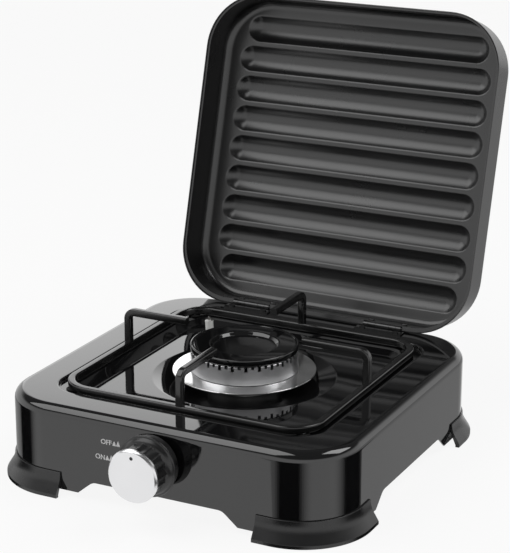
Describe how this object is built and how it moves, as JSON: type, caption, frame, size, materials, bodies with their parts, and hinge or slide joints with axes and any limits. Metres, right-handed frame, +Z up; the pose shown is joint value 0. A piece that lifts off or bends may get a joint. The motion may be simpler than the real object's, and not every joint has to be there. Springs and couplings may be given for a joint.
{
  "type": "tabletop gas stove",
  "caption": "Low black enamelled tabletop gas stove with a hinged ribbed lid, a lift-off pan support, a toothed round burner, a push-and-turn knob and a rear hose tail.",
  "frame": {"origin": "on the table plane under the middle of the stove's whole depth with the lid open, on the centre line", "axes": "+Z up from the table, -Y towards the knob and the user, +X to the user's right"},
  "size_m": [0.306, 0.4118, 0.3292],
  "materials": {
    "black_enamel": "gloss",
    "black_wire_enamel": "satin",
    "black_plastic": "matt",
    "bright_plastic": "satin metallised",
    "bright_steel": "polished",
    "cast_aluminium": "as turned",
    "zinc_steel": "zinc plated",
    "brass": "turned",
    "black_rubber": "matt",
    "white_ceramic": "glazed ceramic"
  },
  "bodies": {
    "base": {"casing": "black_enamel", "foot_front_left": "black_plastic", "foot_front_right": "black_plastic", "foot_rear_left": "black_plastic", "foot_rear_right": "black_plastic", "foot_screws": "zinc_steel", "pan_support_grommets": "black_rubber", "burner_bowl": "bright_steel", "burner_rail": "zinc_steel", "burner_screws": "zinc_steel", "mixing_tube": "zinc_steel", "air_shutter": "zinc_steel", "injector": "brass", "gas_valve": "brass", "valve_bracket": "zinc_steel", "valve_screws": "zinc_steel", "piezo_igniter": "black_plastic", "igniter_electrode": "white_ceramic", "electrode_wire": "bright_steel", "gas_pipe": "zinc_steel", "pipe_nuts": "brass", "inlet_body": "brass", "inlet_locknut": "brass", "hose_tail": "brass", "deck_leaf_left": "black_enamel", "deck_leaf_right": "black_enamel", "hinge_pins": "black_enamel", "deck_rivets": "black_enamel"},
    "pan_support": {"pan_frame": "black_wire_enamel", "pan_finger_front": "black_wire_enamel", "pan_finger_rear": "black_wire_enamel", "pan_finger_right": "black_wire_enamel", "pan_finger_left": "black_wire_enamel"},
    "head": {"burner_head": "cast_aluminium"},
    "cap": {"burner_cap": "black_enamel"},
    "plug": {"valve_plug": "brass"},
    "knob": {"valve_spindle": "brass", "knob_body": "black_plastic", "knob_face": "bright_plastic"},
    "lid_body": {"lid": "black_enamel", "lid_leaf_left": "black_enamel", "lid_leaf_right": "black_enamel", "lid_rivets": "black_enamel"}
  },
  "joints": [
    {"name": "lid_hinge", "type": "hinge", "parent": "base", "child": "lid_body", "pos_m": [0, 0.105, 0.07305], "axis": [1, 0, 0], "range_deg": [0, 105.5]},
    {"name": "knob_turn", "type": "hinge", "parent": "base", "child": "plug", "pos_m": [0, -0.1707, 0.045], "axis": [0, -1, 0], "range_deg": [0, 180]},
    {"name": "knob_push", "type": "slide", "parent": "plug", "child": "knob", "axis": [0, 1, 0], "range_m": [0, 0.003], "stiffness_N_per_m": 2500, "springref_m": -0.002},
    {"name": "burner_head_lift", "type": "slide", "parent": "base", "child": "head", "axis": [0, 0, 1], "range_m": [0, 0.0025]},
    {"name": "burner_cap_lift", "type": "slide", "parent": "head", "child": "cap", "axis": [0, 0, 1], "range_m": [0, 0.0025]},
    {"name": "pan_support_lift", "type": "slide", "parent": "base", "child": "pan_support", "axis": [0, 0, 1], "range_m": [0, 0.0015]}
  ]
}
